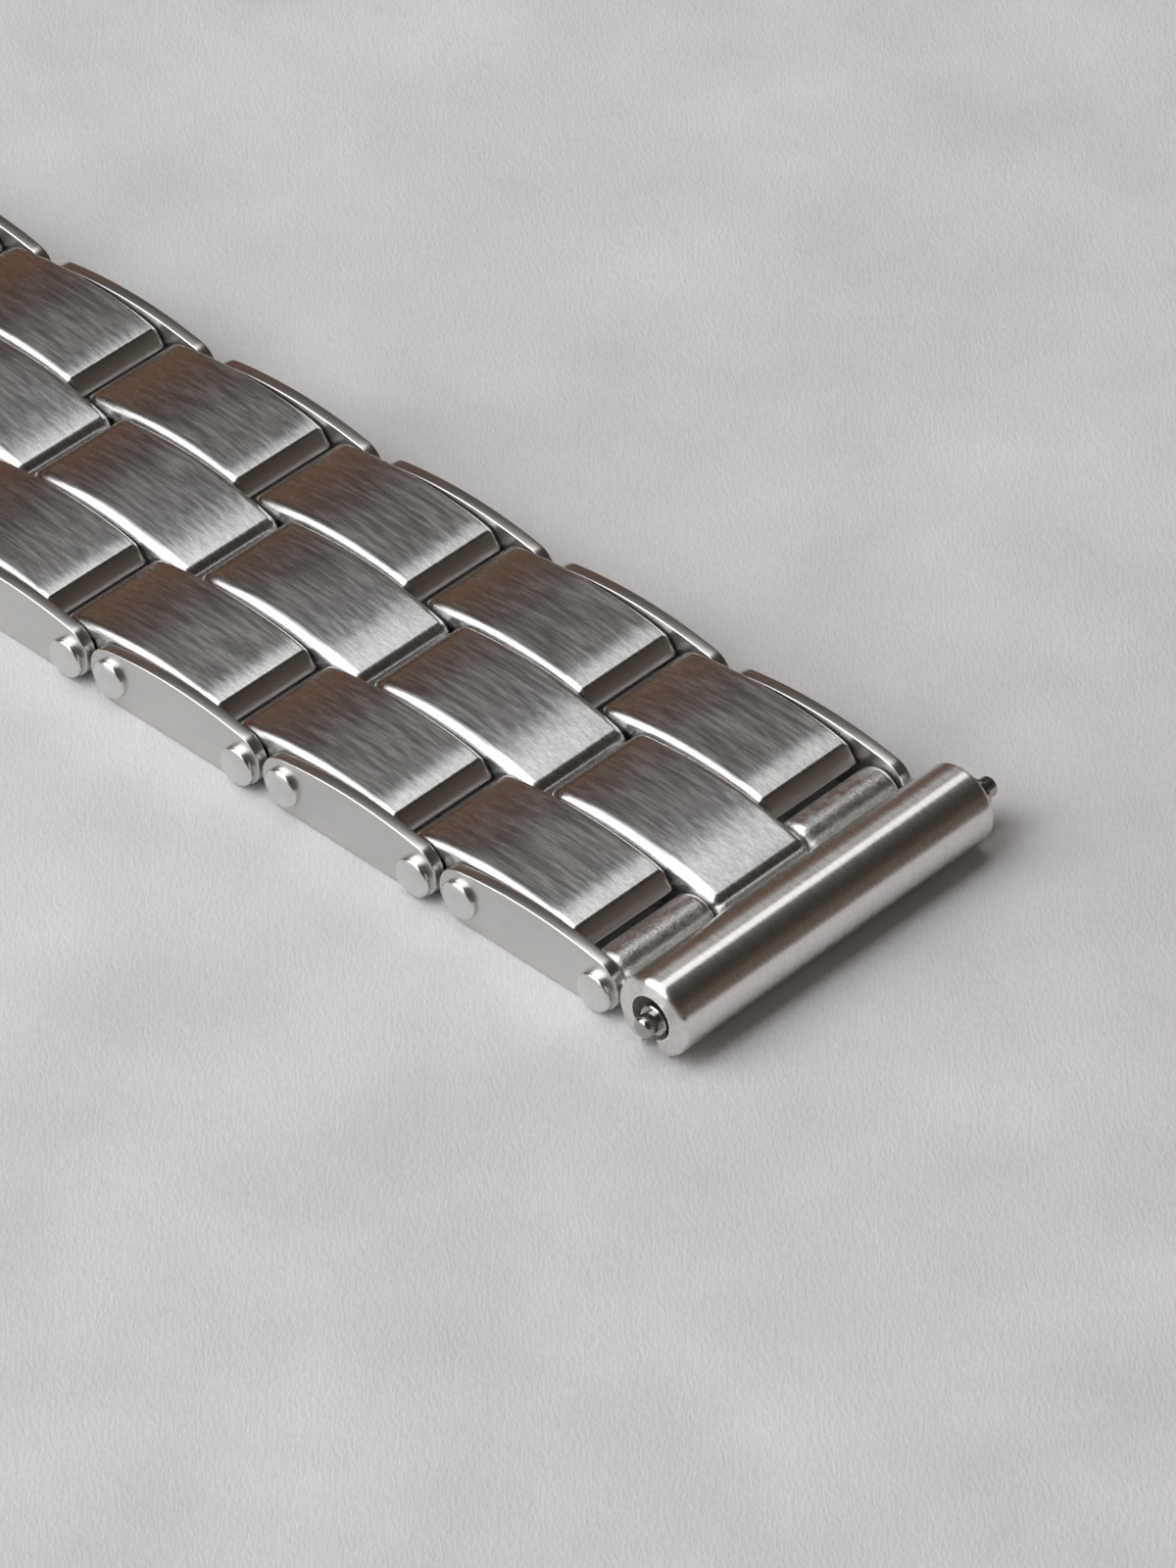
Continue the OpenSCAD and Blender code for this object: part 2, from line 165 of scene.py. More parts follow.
def touch(peak, crown, centre):
    """Point where an end arc touches its crown."""
    middle = crown_middle(peak, crown)
    dx = centre[0] - middle[0]
    dz = centre[1] - middle[1]
    reach = crown / math.hypot(dx, dz)
    return middle[0] + dx * reach, middle[1] + dz * reach


def on_arc(middle, radius, x):
    """Height of an arc about middle over x."""
    return middle[1] + math.sqrt(radius ** 2 - (x - middle[0]) ** 2)


def turn(start, centre, end):
    """Degrees from start to end round a centre, positive from X towards Z."""
    a = math.atan2(start[1] - centre[1], start[0] - centre[0])
    b = math.atan2(end[1] - centre[1], end[0] - centre[0])
    return math.degrees(b - a)


def draw_outline(bm, start, moves):
    """Draws a side outline from straight moves and spun arcs.

    A move is a point to go straight to, or (centre, degrees, steps) for an arc.
    """
    made = bmesh.ops.create_vert(bm, co=place(start[0], 0, start[1]))
    tip = made["vert"][0]
    for move in moves:
        if len(move) == 2:
            grown = bmesh.ops.extrude_vert_indiv(bm, verts=[tip])
            tip = grown["verts"][0]
            tip.co = place(move[0], 0, move[1])
            continue
        centre, degrees, steps = move
        spun = bmesh.ops.spin(
            bm, geom=[tip], cent=place(centre[0], 0, centre[1]), axis=(0, -1, 0),
            angle=math.radians(degrees), steps=steps, use_merge=False)
        tip = [v for v in spun["geom_last"] if isinstance(v, bmesh.types.BMVert)][0]
    bmesh.ops.remove_doubles(bm, verts=bm.verts, dist=WELD * MM)


def across(bm, low_y, high_y):
    """Fills the drawn outline, which also closes it, and extrudes it across the strap."""
    face = bmesh.ops.contextual_create(bm, geom=bm.edges[:])["faces"][0]
    bmesh.ops.translate(bm, verts=bm.verts, vec=place(y=low_y))
    grown = bmesh.ops.extrude_face_region(bm, geom=[face], use_keep_orig=True)
    moved = [v for v in grown["geom"] if isinstance(v, bmesh.types.BMVert)]
    bmesh.ops.translate(bm, verts=moved, vec=place(y=high_y - low_y))
    bmesh.ops.recalc_face_normals(bm, faces=bm.faces)


def rim_edges(bm, keep=lambda normal: True):
    """Edges between a side face and the band round it, where keep(normal of the band) holds."""
    found = []
    for edge in bm.edges:
        sides = [f for f in edge.link_faces if abs(f.normal.y) > SIDEWAYS]
        bands = [f for f in edge.link_faces if abs(f.normal.y) <= SIDEWAYS]
        if len(sides) == 1 and len(bands) == 1 and keep(bands[0].normal):
            found.append(edge)
    return found


def round_edges(bm, edges, width, segments):
    """Rounds edges off, starting width millimetres from each."""
    bmesh.ops.bevel(
        bm, geom=edges, offset=width * MM, offset_type="OFFSET", segments=segments,
        profile=0.5, affect="EDGES", material=-1, clamp_overlap=False)


def lathe(bm, profile, centre, steps):
    """Spins a profile of (radius, y) points into a closed shell about an axis across the strap."""
    verts = []
    for radius, y in profile:
        made = bmesh.ops.create_vert(bm, co=place(centre[0] + radius, y, centre[1]))
        verts.append(made["vert"][0])
    edges = [bm.edges.new(pair) for pair in zip(verts, verts[1:])]
    bmesh.ops.spin(
        bm, geom=edges + verts, cent=place(centre[0], 0, centre[1]), axis=(0, -1, 0),
        angle=math.tau, steps=steps, use_merge=True)
    bmesh.ops.remove_doubles(bm, verts=bm.verts, dist=WELD * MM)
    bmesh.ops.recalc_face_normals(bm, faces=bm.faces)


def unit_x(i):
    """Where along the strap the near rivet of unit i is."""
    return -TUBE_REACH - (i - 1) * UNIT_PITCH


def moved_copy(bm, i):
    """A copy of a bmesh that was drawn round its near rivet, moved to unit i."""
    other = bm.copy()
    bmesh.ops.translate(other, verts=other.verts, vec=place(x=unit_x(i), z=TABLE_Z))
    return other


def outer_width(way):
    """Low and high y of the outer links on one side."""
    return sorted((way * OUTER_INSIDE, way * OUTER_OUTSIDE))


def finish_piece(bm, name, material, body, nodes, other=None):
    """Makes a named object from a bmesh, smooth but for its sharp edges, riding on its body.

    Faces with material index 1 take the other material.
    """
    mesh = bpy.data.meshes.new(name)
    bm.to_mesh(mesh)
    bm.free()
    mesh.shade_smooth()
    mesh.set_sharp_from_angle(angle=math.radians(SHARP_ANGLE))
    piece = bpy.data.objects.new(name, mesh)
    bpy.context.scene.collection.objects.link(piece)
    for finish in (material, other):
        if finish:
            mesh.materials.append(finish)
    weighted = piece.modifiers.new("even shading", "WEIGHTED_NORMAL")
    weighted.keep_sharp = True
    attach(piece, body)
    if nodes:
        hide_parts(*nodes)


# Materials

def rgb(hex_code):
    """Linear colour of an sRGB hex value."""
    parts = [int(hex_code[k:k + 2], 16) / 255 for k in (1, 3, 5)]
    return tuple(p / 12.92 if p <= 0.04045 else ((p + 0.055) / 1.055) ** 2.4 for p in parts) + (1.0,)


def add(nodes, kind, settings=None, links=None):
    """Adds a node, sets its fields or input values, and links its inputs."""
    node = nodes.new(kind)
    for key, value in (settings or {}).items():
        if isinstance(key, str) and hasattr(node, key):
            setattr(node, key, value)
        else:
            node.inputs[key].default_value = value
    for key, source in (links or {}).items():
        node.id_data.links.new(source, node.inputs[key])
    return node


def new_material(name, colour, roughness, metallic=1.0):
    """A material of one colour, with its nodes and its shader, for a pattern to be added to."""
    material = bpy.data.materials.new(name)
    material.use_nodes = True
    nodes = material.node_tree.nodes
    shader = nodes["Principled BSDF"]
    shader.inputs["Base Color"].default_value = rgb(colour)
    shader.inputs["Metallic"].default_value = metallic
    shader.inputs["Roughness"].default_value = roughness
    return material, nodes, shader


def brush_noise(nodes, along, length_mm, line_mm):
    """Noise stretched into brush lines, and the same in bands, where the brush pressed harder."""
    where = add(nodes, "ShaderNodeTexCoord")
    scale = [1000 / length_mm if axis in along else 1000 / line_mm for axis in "XYZ"]
    lined = add(nodes, "ShaderNodeMapping", {"Scale": scale}, {"Vector": where.outputs["Object"]})
    # The bands are about three times as broad and as long as the lines
    return [
        add(nodes, "ShaderNodeTexNoise", {"Scale": size, "Detail": 2.0, "Roughness": 0.5},
            {"Vector": lined.outputs["Vector"]})
        for size in (1.0, 0.3)]


def brushed(name, colour, roughness, spread, along, length_mm, line_mm, depth, wear=0.0):
    """Steel with brush lines that run along one axis, or round the Y axis when along is XZ.

    line_mm is the spacing of the lines, length_mm how long one runs and depth how deep it is
    in millimetres. spread is how much wider reflections blur across the strap than along it,
    and wear how far the lines tint the steel and change its roughness.
    """
    material, nodes, shader = new_material(name, colour, roughness)
    links = material.node_tree.links
    lines, bands = brush_noise(nodes, along, length_mm, line_mm)
    # A quarter of the tint follows the bands
    both = add(nodes, "ShaderNodeMix", {"data_type": "FLOAT", 0: 0.25},
               {2: lines.outputs["Fac"], 3: bands.outputs["Fac"]})
    # Nearly all of the noise lies between 0.35 and 0.65, so the ranges start and end about there
    change = 0.5 * wear * roughness
    rough = add(nodes, "ShaderNodeMapRange", {
        "From Min": 0.35, "From Max": 0.65, "To Min": roughness - change, "To Max": roughness + change,
    }, {"Value": bands.outputs["Fac"]})
    tint = add(nodes, "ShaderNodeMapRange", {
        "From Min": 0.38, "From Max": 0.62, "To Min": 1.0 - wear, "To Max": 1.0,
    }, {"Value": both.outputs[0]})
    tone = add(nodes, "ShaderNodeMix", {
        "data_type": "RGBA", "blend_type": "MULTIPLY", 0: 1.0, 6: rgb(colour),
    }, {7: tint.outputs["Result"]})
    bump = add(nodes, "ShaderNodeBump", {"Strength": 1.0, "Distance": depth * MM},
               {"Height": lines.outputs["Fac"]})
    links.new(tone.outputs[2], shader.inputs["Base Color"])
    links.new(rough.outputs["Result"], shader.inputs["Roughness"])
    links.new(bump.outputs["Normal"], shader.inputs["Normal"])
    shader.inputs["Anisotropic"].default_value = spread
    if spread:
        # The small Z keeps the direction from vanishing on faces that look straight to a side
        aside = add(nodes, "ShaderNodeCombineXYZ", {"Y": 1.0, "Z": 0.02})
        tangent = add(nodes, "ShaderNodeVectorTransform",
                      {"vector_type": "VECTOR", "convert_from": "OBJECT", "convert_to": "WORLD"},
                      {"Vector": aside.outputs["Vector"]})
        links.new(tangent.outputs["Vector"], shader.inputs["Tangent"])
    return material


# Real brush lines are about 0.02 mm apart, too fine to show in the render, so the links' lines
# are drawn 0.06 mm apart and the other patterns in the same way coarser than they are.

# Stainless steel, brushed along the strap: soft streaks that stretch reflections across the links
link_steel = brushed("brushed_link_steel", "#E0E0E0", 0.25, 0.88, "X", 0.75, 0.062, 0.0008, 0.26)
# The same sheet on the outer links, its streaks a little coarser
outer_steel = brushed("brushed_outer_steel", "#DEDEDD", 0.25, 0.88, "X", 0.7, 0.065, 0.0008, 0.26)
# Lips: the outer links' sheet, rougher so that it looks even, with hardly any lines, and darker as
# painted shade, since the lips turn away from the light
lip_steel = brushed("lip_steel_painted_shade", "#CCC9C4", 0.36, 0.6, "Y", 1.5, 0.15, 0.0008, 0.1)
# Satin plates, ground lengthwise so finely that they look even
plate_steel = brushed("satin_plate_steel", "#D0CFCD", 0.3, 0.5, "X", 2.0, 0.1, 0.0012, 0.06)
# Tumbled rivets: bright heads with a soft sheen
rivet_steel = brushed("tumbled_rivet_steel", "#E0E0DE", 0.25, 0.0, "Y", 0.4, 0.3, 0.002, 0.05)
# Tube with fine lines left by polishing round it, which pull its highlight out along the tube
tube_steel = brushed("polished_tube_steel", "#ECEBE9", 0.28, 1.0, "XZ", 0.25, 0.06, 0.0012, 0.1)
# Knuckles left as they were tumbled: a fine grain that catches the light in points
knuckle_steel = brushed("grained_knuckle_steel", "#F8F8F6", 0.36, 0.0, "X", 0.13, 0.11, 0.014, 0.3)
# Turned spring bar steel: darker and smooth, with faint lines round it
bar_steel = brushed("turned_bar_steel", "#B9B7B4", 0.2, 0.0, "XZ", 1.0, 0.1, 0.002, 0.1)
# Drawn spring wire: dark, smooth and even
wire_steel = brushed("drawn_spring_wire", "#8C8A87", 0.3, 0.0, "XZ", 0.2, 0.2, 0.001, 0.0)


# Pieces

def centre_outline(bm):
    """Side outline of a centre link: crowned, with a roll round each rivet."""
    near_x = CENTRE_NEAR_REACH
    far_x = -RIVET_PITCH - CENTRE_FAR_REACH
    near = arc_centre(CENTRE_PEAK, CENTRE_CROWN, near_x, 1, CENTRE_NEAR_CORNER)
    far = arc_centre(CENTRE_PEAK, CENTRE_CROWN, far_x, -1, CENTRE_FAR_CORNER)
    on_near = touch(CENTRE_PEAK, CENTRE_CROWN, near)
    on_far = touch(CENTRE_PEAK, CENTRE_CROWN, far)
    middle = crown_middle(CENTRE_PEAK, CENTRE_CROWN)
    draw_outline(bm, (near_x, near[1]), [
        (near, turn((near_x, near[1]), near, on_near), 10),
        (middle, turn(on_near, middle, on_far), 28),
        (far, turn(on_far, far, (far_x, far[1])) % 360, 8),
        (far_x, FAR_ROLL[1]),
        (FAR_ROLL, 90, 8),
        (NEAR_ROLL[0], NEAR_ROLL[1] - CENTRE_NEAR_REACH),
        (NEAR_ROLL, 90, 8),
    ])


def lip_arc(middle):
    """Centre of the arc that rolls an outer link's crown over to its lip, and where it starts."""
    start = (LIP_ROUND_X, on_arc(middle, OUTER_CROWN, LIP_ROUND_X))
    share = (OUTER_CROWN - LIP_ROUND) / OUTER_CROWN
    return tuple(m + (p - m) * share for m, p in zip(middle, start)), start


def roof_meets_roll(middle, inside):
    """Where the under side of the roof, inside away from middle, meets the far rivet's roll."""
    gap = math.hypot(FAR_ROLL[0] - middle[0], FAR_ROLL[1] - middle[1])
    along = (gap ** 2 + inside ** 2 - ROLL_RADIUS ** 2) / (2 * gap)
    aside = math.sqrt(inside ** 2 - along ** 2)
    ux = (FAR_ROLL[0] - middle[0]) / gap
    uz = (FAR_ROLL[1] - middle[1]) / gap
    return middle[0] + ux * along + uz * aside, middle[1] + uz * along - ux * aside


def outer_outline(bm, clasp):
    """Side outline of an outer link, or of the clasp end's roof.

    An outer link has a tail that goes on to the next rivet, and the clasp end's roof has none.
    """
    far_x = -RIVET_PITCH - ROLL_RADIUS if clasp else -UNIT_PITCH - OUTER_FAR_REACH
    far = arc_centre(OUTER_PEAK, OUTER_CROWN, far_x, -1, OUTER_FAR_CORNER)
    on_far = touch(OUTER_PEAK, OUTER_CROWN, far)
    middle = crown_middle(OUTER_PEAK, OUTER_CROWN)
    inside = OUTER_CROWN - OUTER_SHEET
    rolled, on_round = lip_arc(middle)
    lip_top = (LIP_X - LIP_RUN, on_arc(rolled, LIP_ROUND, LIP_X - LIP_RUN))
    lip_low = (LIP_X, lip_top[1] - LIP_DROP)
    under_lip = (LIP_X, on_arc(middle, inside, LIP_X))
    meet = roof_meets_roll(middle, inside)
    bottom = (FAR_ROLL[0], FAR_ROLL[1] - ROLL_RADIUS)
    moves = [
        (rolled, turn(lip_top, rolled, on_round), 8),
        (middle, turn(on_round, middle, on_far), 26),
        (far, turn(on_far, far, (far_x, far[1])) % 360, 8),
    ]
    if clasp:
        moves += [(far_x, FAR_ROLL[1]), (FAR_ROLL, 90, 8)]
    else:
        moves += [(far_x, NEXT_ROLL[1]), (NEXT_ROLL, 90, 8), bottom]
    moves += [
        (FAR_ROLL, turn(bottom, FAR_ROLL, meet), 12),
        (middle, turn(meet, middle, under_lip), 20),
        lip_low,
    ]
    draw_outline(bm, lip_top, moves)


def plate_outline(bm):
    """Side outline of a side plate: an arched top edge and round ends."""
    near_x = PLATE_NEAR_REACH
    far_x = -RIVET_PITCH - PLATE_FAR_REACH
    near = arc_centre(PLATE_PEAK, PLATE_CROWN, near_x, 1, PLATE_CORNER)
    far = arc_centre(PLATE_PEAK, PLATE_CROWN, far_x, -1, PLATE_CORNER)
    on_near = touch(PLATE_PEAK, PLATE_CROWN, near)
    on_far = touch(PLATE_PEAK, PLATE_CROWN, far)
    middle = crown_middle(PLATE_PEAK, PLATE_CROWN)
    low = PLATE_LIFT + PLATE_CORNER
    draw_outline(bm, (near_x, near[1]), [
        (near, turn((near_x, near[1]), near, on_near), 12),
        (middle, turn(on_near, middle, on_far), 30),
        (far, turn(on_far, far, (far_x, far[1])) % 360, 12),
        (far_x, low),
        ((far[0], low), 90, 12),
        (near[0], PLATE_LIFT),
        ((near[0], low), 90, 12),
    ])


def not_below(normal):
    """Whether a band of a centre link looks up or along the strap."""
    return normal.z > -0.2


def top_of(normal):
    """Whether a band of an outer link looks up or straight along the strap."""
    return normal.z > 0.05 or abs(normal.x) > 0.9


def make_centre_links():
    """The middle row, with its edges rounded off above and at both ends."""
    base = bmesh.new()
    centre_outline(base)
    across(base, -CENTRE_HALF, CENTRE_HALF)
    round_edges(base, rim_edges(base, not_below), CENTRE_EDGE, 6)
    for i in range(1, UNITS + 1):
        finish_piece(
            moved_copy(base, i), f"centre_link_top_{i}", link_steel,
            f"unit_{i}", [f"centre_link_{i}"])
    base.free()


def mark_lip(bm):
    """Gives the slanted faces of a lip the second material, whose darker colour is painted shade."""
    for face in bm.faces:
        if face.normal.x > 0.5 and face.calc_center_median().x > LIP_FACES_X * MM:
            face.material_index = 1


def outer_roof(way, clasp):
    """The folded shape of one side's outer link, or of the clasp end's roof."""
    bm = bmesh.new()
    outer_outline(bm, clasp)
    across(bm, *outer_width(way))
    mark_lip(bm)
    round_edges(bm, rim_edges(bm, top_of), OUTER_EDGE, 5)
    return bm


def make_outer_links():
    """The two outer rows, one link from every unit to the next."""
    for side, way in SIDES:
        base = outer_roof(way, False)
        for i in range(1, UNITS):
            finish_piece(
                moved_copy(base, i), f"outer_link_fold_{side}_{i}", outer_steel,
                f"bridge_{i}", [f"outer_link_{side}_{i}"], lip_steel)
        base.free()


def make_side_plates():
    """The plates that the rivets hold, with their edges just broken."""
    for side, way in SIDES:
        base = bmesh.new()
        plate_outline(base)
        low, high = sorted((way * (STRAP_HALF - PLATE_THICKNESS), way * STRAP_HALF))
        across(base, low, high)
        round_edges(base, rim_edges(base), PLATE_EDGE, 3)
        for i in range(1, UNITS + 1):
            finish_piece(
                moved_copy(base, i), f"side_plate_arched_{side}_{i}", plate_steel,
                f"unit_{i}", [f"side_plate_{side}_{i}"])
        base.free()


def rivet_profile(head_height, dome, rim):
    """Half of a rivet's section, from the middle of one head to the middle of the other."""
    steps = 6
    tip = STRAP_HALF + head_height
    # Where the dome meets the rim's arc, as an angle of the dome
    meet = math.asin((HEAD_RADIUS - rim) / (dome - rim))
    points = []
    for k in range(steps + 1):
        angle = meet * k / steps
        points.append((dome * math.sin(angle), tip - dome + dome * math.cos(angle)))
    rim_y = tip - dome + (dome - rim) * math.cos(meet)
    for k in range(1, steps + 1):
        angle = meet + (math.pi / 2 - meet) * k / steps
        points.append((HEAD_RADIUS - rim + rim * math.sin(angle), rim_y + rim * math.cos(angle)))
    points += [(HEAD_RADIUS, STRAP_HALF), (RIVET_RADIUS, STRAP_HALF)]
    return points + [(r, -y) for r, y in reversed(points)]


def make_rivets():
    """Two rivets to a unit, the near one's heads flatter than the far one's."""
    base = bmesh.new()
    for rivet, head in ((NEAR_RIVET, NEAR_HEAD), (FAR_RIVET, FAR_HEAD)):
        lathe(base, rivet_profile(*head), rivet, 48)
    for i in range(1, UNITS + 1):
        finish_piece(
            moved_copy(base, i), f"rivet_pair_{i}", rivet_steel,
            f"unit_{i}", [f"rivets_{i}"])
    base.free()


def make_tube(name, radius, half, centre, body, node):
    """Sheet rolled into a tube, open along a slot underneath."""
    bm = bmesh.new()
    slot = math.degrees(math.asin(SLOT_HALF / radius))
    start = math.radians(-90 + slot)
    corners = []
    for r, y in ((BORE_RADIUS, -half), (radius, -half), (radius, half), (BORE_RADIUS, half)):
        point = place(centre[0] + r * math.cos(start), y, centre[1] + r * math.sin(start))
        corners.append(bmesh.ops.create_vert(bm, co=point)["vert"][0])
    bmesh.ops.contextual_create(bm, geom=corners)
    # The two outer corners are rounded off before the section is spun
    bmesh.ops.bevel(
        bm, geom=corners[1:3], offset=TUBE_EDGE * MM, offset_type="OFFSET", segments=5,
        profile=0.5, affect="VERTICES", material=-1)
    bmesh.ops.spin(
        bm, geom=bm.faces[:] + bm.edges[:] + bm.verts[:],
        cent=place(centre[0], 0, centre[1]), axis=(0, -1, 0),
        angle=math.radians(360 - 2 * slot), steps=96, use_merge=False)
    bmesh.ops.recalc_face_normals(bm, faces=bm.faces)
    finish_piece(bm, name, tube_steel, body, [node])


def make_knuckles():
    """The rolls of the watch end round its first rivet, each with a web into the tube."""
    middle = (-TUBE_REACH, TABLE_Z + NEAR_ROLL[1])
    # The web runs into the wall of the tube, so the knuckle's own outline stops inside it
    reach = math.sqrt(ROLL_RADIUS ** 2 - WEB_HALF ** 2)
    start = (middle[0] + reach, middle[1] + WEB_HALF)
    end = (middle[0] + reach, middle[1] - WEB_HALF)
    for side, way in SIDES:
        bm = bmesh.new()
        draw_outline(bm, (KNUCKLE_WEB_END, BAR_DROP + WEB_HALF), [
            start,
            (middle, turn(start, middle, end) % 360, 40),
            (KNUCKLE_WEB_END, BAR_DROP - WEB_HALF),
        ])
        across(bm, *outer_width(way))
        round_edges(bm, rim_edges(bm), KNUCKLE_EDGE, 6)
        finish_piece(bm, f"knuckle_{side}", knuckle_steel, "watch_end", [])


def make_clasp_end():
    """The far tube, with a roof and a web on each side that join it to the last unit."""
    axis = (unit_x(UNITS) - RIVET_PITCH - CLASP_REACH, TABLE_Z + CLASP_TUBE_RADIUS)
    make_tube("clasp_tube", CLASP_TUBE_RADIUS, CLASP_TUBE_HALF, axis, "clasp_end", "clasp_end")
    roll = (unit_x(UNITS) + FAR_ROLL[0], TABLE_Z + FAR_ROLL[1])
    in_roll = roll[0] - CLASP_WEB_IN_ROLL
    in_tube = axis[0] + CLASP_WEB_IN_TUBE
    for side, way in SIDES:
        base = outer_roof(way, True)
        finish_piece(
            moved_copy(base, UNITS), f"clasp_roof_{side}", outer_steel,
            "clasp_end", [], lip_steel)
        base.free()
        web = bmesh.new()
        draw_outline(web, (in_roll, roll[1] + WEB_HALF), [
            (in_tube, axis[1] + WEB_HALF),
            (in_tube, axis[1] - WEB_HALF),
            (in_roll, roll[1] - WEB_HALF),
        ])
        low, high = outer_width(way)
        across(web, low + CLASP_WEB_INSET, high - CLASP_WEB_INSET)
        round_edges(web, rim_edges(web), WEB_EDGE, 3)
        finish_piece(web, f"clasp_web_{side}", outer_steel, "clasp_end", [])


def barrel_end(half):
    """Half length of the barrel of a bar in a tube of half length half."""
    return half + SHOULDER_OVERHANG - SHOULDER_LENGTH - TIP_TRAVEL - BAR_CLEARANCE


def make_plunger(name, node, half, slide, axis, way):
    """Turned plunger of a spring bar: neck, shoulder with broken edges and a rounded tip."""
    shoulder_out = half + SHOULDER_OVERHANG
    shoulder_in = shoulder_out - SHOULDER_LENGTH
    shoulder_top = BAR_RADIUS - SHOULDER_EDGE
    tip = shoulder_out + TIP_LENGTH
    piston_out = barrel_end(half) - BAR_LIP - BAR_CLEARANCE
    piston_in = piston_out - PISTON_LENGTH
    piston_radius = BAR_BORE_RADIUS - BAR_CLEARANCE
    profile = [(0, tip)]
    for k in range(7):
        angle = math.radians(15 * k)
        profile.append((
            TIP_RADIUS - TIP_BEND + TIP_BEND * math.sin(angle),
            tip - TIP_BEND + TIP_BEND * math.cos(angle)))
    profile += [
        (TIP_RADIUS, shoulder_out), (shoulder_top, shoulder_out),
        (BAR_RADIUS, shoulder_out - SHOULDER_EDGE), (BAR_RADIUS, shoulder_in + SHOULDER_EDGE),
        (shoulder_top, shoulder_in), (NECK_RADIUS, shoulder_in),
        (NECK_RADIUS, piston_out), (piston_radius, piston_out),
        (piston_radius, piston_in), (0, piston_in)]
    bm = bmesh.new()
    lathe(bm, [(r, slide + way * y) for r, y in profile], axis, 40)
    finish_piece(bm, name, bar_steel, node, [node])


def make_barrel(name, node, body, half, slide, axis):
    """Barrel of a spring bar, crimped to a lip at both ends."""
    end = barrel_end(half)
    lip = end - BAR_LIP
    hole = NECK_RADIUS + BAR_CLEARANCE
    rim = BAR_RADIUS - BARREL_EDGE
    profile = [
        (hole, lip), (hole, end), (rim, end), (BAR_RADIUS, end - BARREL_EDGE),
        (BAR_RADIUS, BARREL_EDGE - end), (rim, -end), (hole, -end), (hole, -lip),
        (BAR_BORE_RADIUS, -lip), (BAR_BORE_RADIUS, lip), (hole, lip)]
    bm = bmesh.new()
    lathe(bm, [(r, slide + y) for r, y in profile], axis, 48)
    finish_piece(bm, name, bar_steel, body, [node])


def make_spring_bars():
    """Barrels and plungers of both ends; the springs, wound wire, keep their CAD shapes."""
    clasp_axis = (
        unit_x(UNITS) - RIVET_PITCH - CLASP_REACH,
        TABLE_Z + CLASP_TUBE_RADIUS - BAR_DROP)
    for bar, body, half, slide, axis in (
            ("bar", "watch_end", TUBE_HALF, BAR_SLIDE, (0, 0)),
            ("clasp", "clasp_end", CLASP_TUBE_HALF, 0, clasp_axis)):
        make_barrel(f"{bar}_tube_crimped", f"{bar}_barrel", body, half, slide, axis)
        for side, way in SIDES:
            make_plunger(f"{bar}_pin_{side}", f"{bar}_plunger_{side}", half, slide, axis, way)
        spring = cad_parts[f"{bar}_spring"]
        spring.data.materials.clear()
        spring.data.materials.append(wire_steel)


make_centre_links()
make_outer_links()
make_side_plates()
make_rivets()
make_tube("watch_tube", TUBE_RADIUS, TUBE_HALF, (0, BAR_DROP), "watch_end", "end_tube")
make_knuckles()
make_clasp_end()
make_spring_bars()


# Table, light and camera

# Half the table's side in metres, far past what the photograph shows
TABLE_HALF = 2.0
# The felt's fibres in millimetres, thickness and length. Real ones are finer; these show.
FIBRE = 0.16
FIBRE_RUN = 0.4
# Which way the felt is combed, in degrees: along the camera's line of sight
COMBED = -46
# Soft clouds in the felt, in millimetres
CLOUD = 9.0

# The camera of the photograph, as worked out from its measured points: azimuth, elevation
# and roll in degrees, the point looked at and the distance to it in millimetres
CAMERA_ANGLES = (-46.273, 40.134, -0.044)
CAMERA_TARGET = (-12.760, -0.397)
CAMERA_DISTANCE = 400.07
CAMERA_LENS = 210.09
SENSOR = 36.0


def felt():
    """Pale grey felt: short fibres that show as a soft mottle."""
    material, nodes, shader = new_material("pale_felt", "#C8C8C8", 1.0, 0.0)
    links = material.node_tree.links
    shader.inputs["Specular IOR Level"].default_value = 0.1
    where = add(nodes, "ShaderNodeTexCoord")
    combed = add(nodes, "ShaderNodeMapping", {
        "vector_type": "TEXTURE", "Rotation": (0, 0, math.radians(COMBED)),
        "Scale": (FIBRE_RUN * MM, FIBRE * MM, MM),
    }, {"Vector": where.outputs["Object"]})
    fibres = add(nodes, "ShaderNodeTexNoise", {"Scale": 1.0, "Detail": 3.0, "Roughness": 0.6},
                 {"Vector": combed.outputs["Vector"]})
    clouds = add(nodes, "ShaderNodeTexNoise", {"Scale": 1000 / CLOUD, "Detail": 3.0},
                 {"Vector": where.outputs["Object"]})
    # The clouds and half of the fibres add up to about 0.45 to 1
    mixed = add(nodes, "ShaderNodeMath", {"operation": "MULTIPLY_ADD", 1: 0.5},
                {0: fibres.outputs["Fac"], 2: clouds.outputs["Fac"]})
    tone = add(nodes, "ShaderNodeValToRGB", None, {"Fac": mixed.outputs["Value"]})
    for point, position, colour in zip(
            tone.color_ramp.elements, (0.45, 1.0), ("#DDDDDE", "#F0F0F1")):
        point.position = position
        point.color = rgb(colour)
    links.new(tone.outputs["Color"], shader.inputs["Base Color"])
    bump = add(nodes, "ShaderNodeBump", {"Strength": 0.7, "Distance": 0.05 * MM},
               {"Height": fibres.outputs["Fac"]})
    links.new(bump.outputs["Normal"], shader.inputs["Normal"])
    return material


def make_table():
    """The flat ground that the strap lies on."""
    bm = bmesh.new()
    bmesh.ops.create_grid(bm, x_segments=1, y_segments=1, size=TABLE_HALF)
    bmesh.ops.translate(bm, verts=bm.verts, vec=place(z=TABLE_Z))
    mesh = bpy.data.meshes.new("table")
    bm.to_mesh(mesh)
    bm.free()
    table = bpy.data.objects.new("table", mesh)
    bpy.context.scene.collection.objects.link(table)
    mesh.materials.append(felt())


